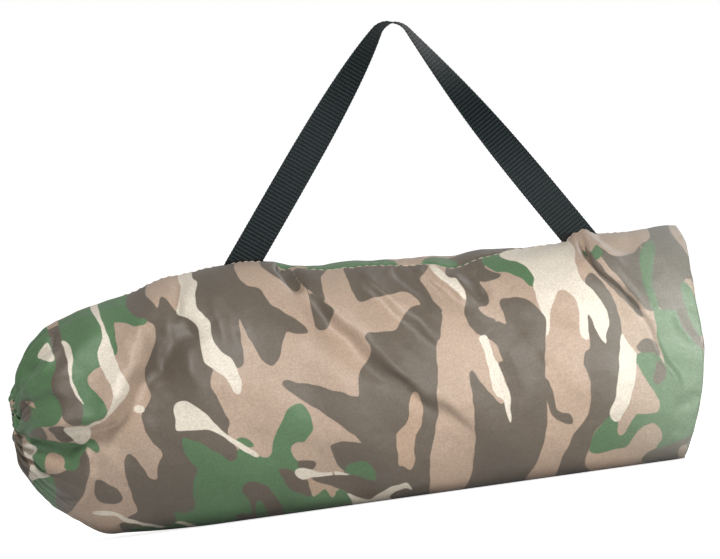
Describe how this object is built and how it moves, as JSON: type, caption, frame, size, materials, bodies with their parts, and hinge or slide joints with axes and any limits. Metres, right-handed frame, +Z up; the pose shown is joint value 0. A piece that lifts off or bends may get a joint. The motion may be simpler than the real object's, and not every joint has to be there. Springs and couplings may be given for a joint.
{
  "type": "drawstring carry bag",
  "caption": "Round camouflage cloth bag, packed full, gathered shut at one end, with a webbing carry strap standing up from the seam along its top.",
  "frame": {"origin": "on the ground under the middle of the bag's length and width", "axes": "+X along the bag from the gathered mouth to the end panel, +Z up, -Y towards the front"},
  "size_m": [0.549, 0.2064, 0.3737],
  "materials": {
    "camouflage_cloth": "matte",
    "webbing": "matte",
    "thread": "matte",
    "cord": "matte",
    "soft_filling": "matte"
  },
  "bodies": {
    "bag": {"body_cloth": "camouflage_cloth", "end_panel": "camouflage_cloth", "mouth_hem": "camouflage_cloth", "top_seam_allowance": "camouflage_cloth", "end_seam_allowance": "camouflage_cloth", "packed_roll": "soft_filling", "draw_cord": "cord", "top_seam_stitches": "thread", "hem_stitches": "thread", "end_seam_stitches": "thread", "strap_tack_left": "thread", "strap_tack_right": "thread", "strap_tail_left": "webbing", "strap_tail_right": "webbing"},
    "strap": {"carry_strap": "webbing"}
  },
  "joints": [
    {"name": "strap_swing", "type": "hinge", "parent": "bag", "child": "strap", "pos_m": [0.0565, 0, 0.19675], "axis": [0.9984, 0, -0.0557], "range_deg": [-80, 80]}
  ]
}
